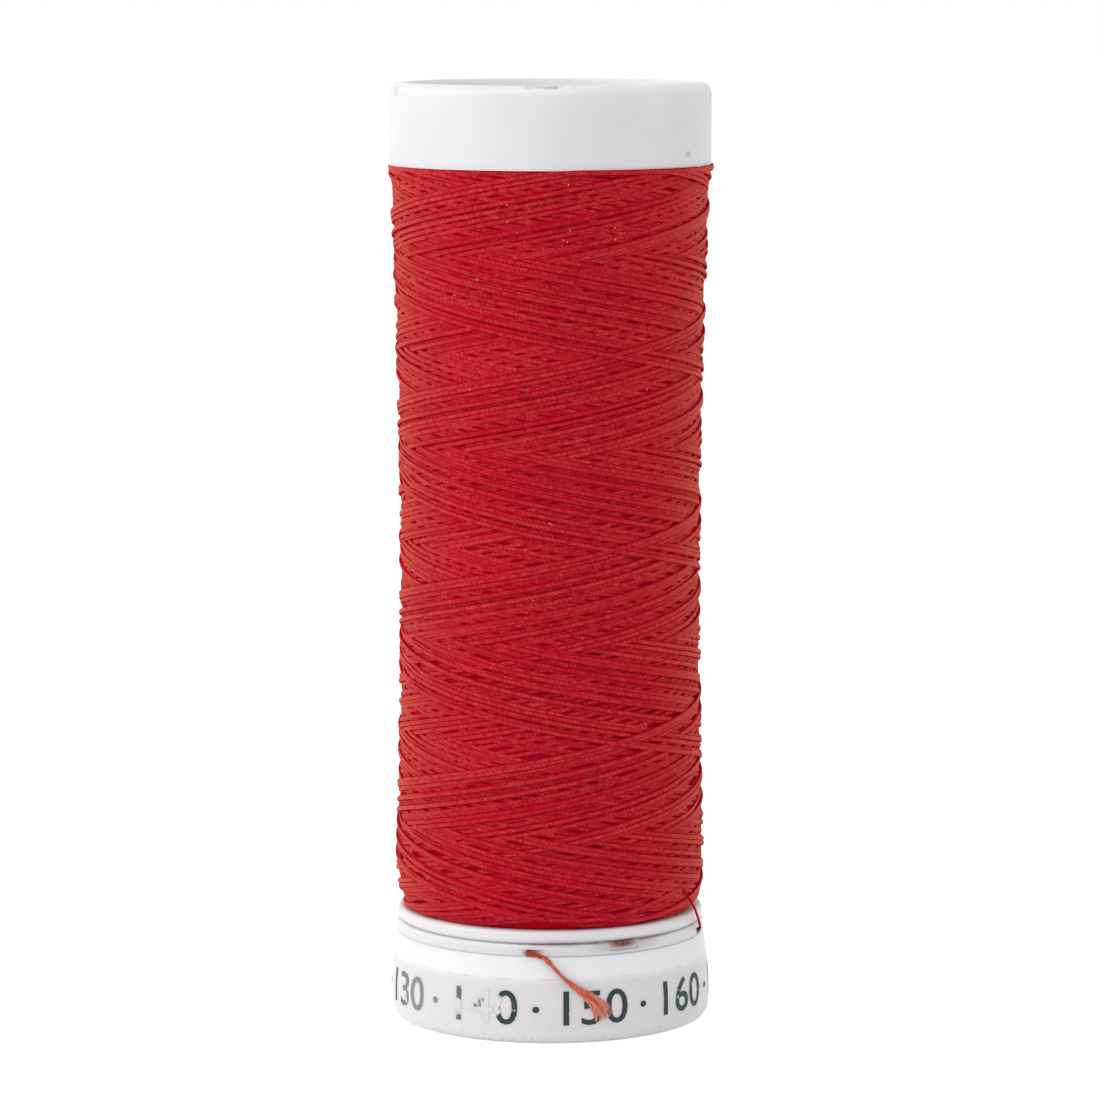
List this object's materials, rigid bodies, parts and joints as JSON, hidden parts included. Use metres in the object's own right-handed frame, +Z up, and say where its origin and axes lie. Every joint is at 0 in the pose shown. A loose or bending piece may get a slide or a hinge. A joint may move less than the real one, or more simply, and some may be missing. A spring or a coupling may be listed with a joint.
{
  "type": "spool of thread",
  "caption": "White plastic snap spool wound with red sewing thread, with a spindle hole through it and a base that pulls down to clamp the thread's end.",
  "frame": {"origin": "centre of the base, on the surface the spool stands on", "axes": "+Z up along the spindle axis, -Y towards the printed front with the thread's free end"},
  "size_m": [0.022, 0.0222, 0.064],
  "materials": {
    "barrel_plastic": "satin",
    "cap_plastic": "satin",
    "foot_plastic": "satin",
    "skirt_plastic": "satin",
    "thread": "satin"
  },
  "bodies": {
    "spool": {"barrel": "barrel_plastic", "head_cap": "cap_plastic", "foot_plug": "foot_plastic", "thread_package": "thread", "thread_tail_lead": "thread", "thread_tail_wrap": "thread", "thread_tail_end": "thread"},
    "snap_skirt": {"snap_skirt": "skirt_plastic"}
  },
  "joints": [
    {"name": "base_snap", "type": "slide", "parent": "spool", "child": "snap_skirt", "axis": [0, 0, -1], "range_m": [0, 0.0024]}
  ]
}
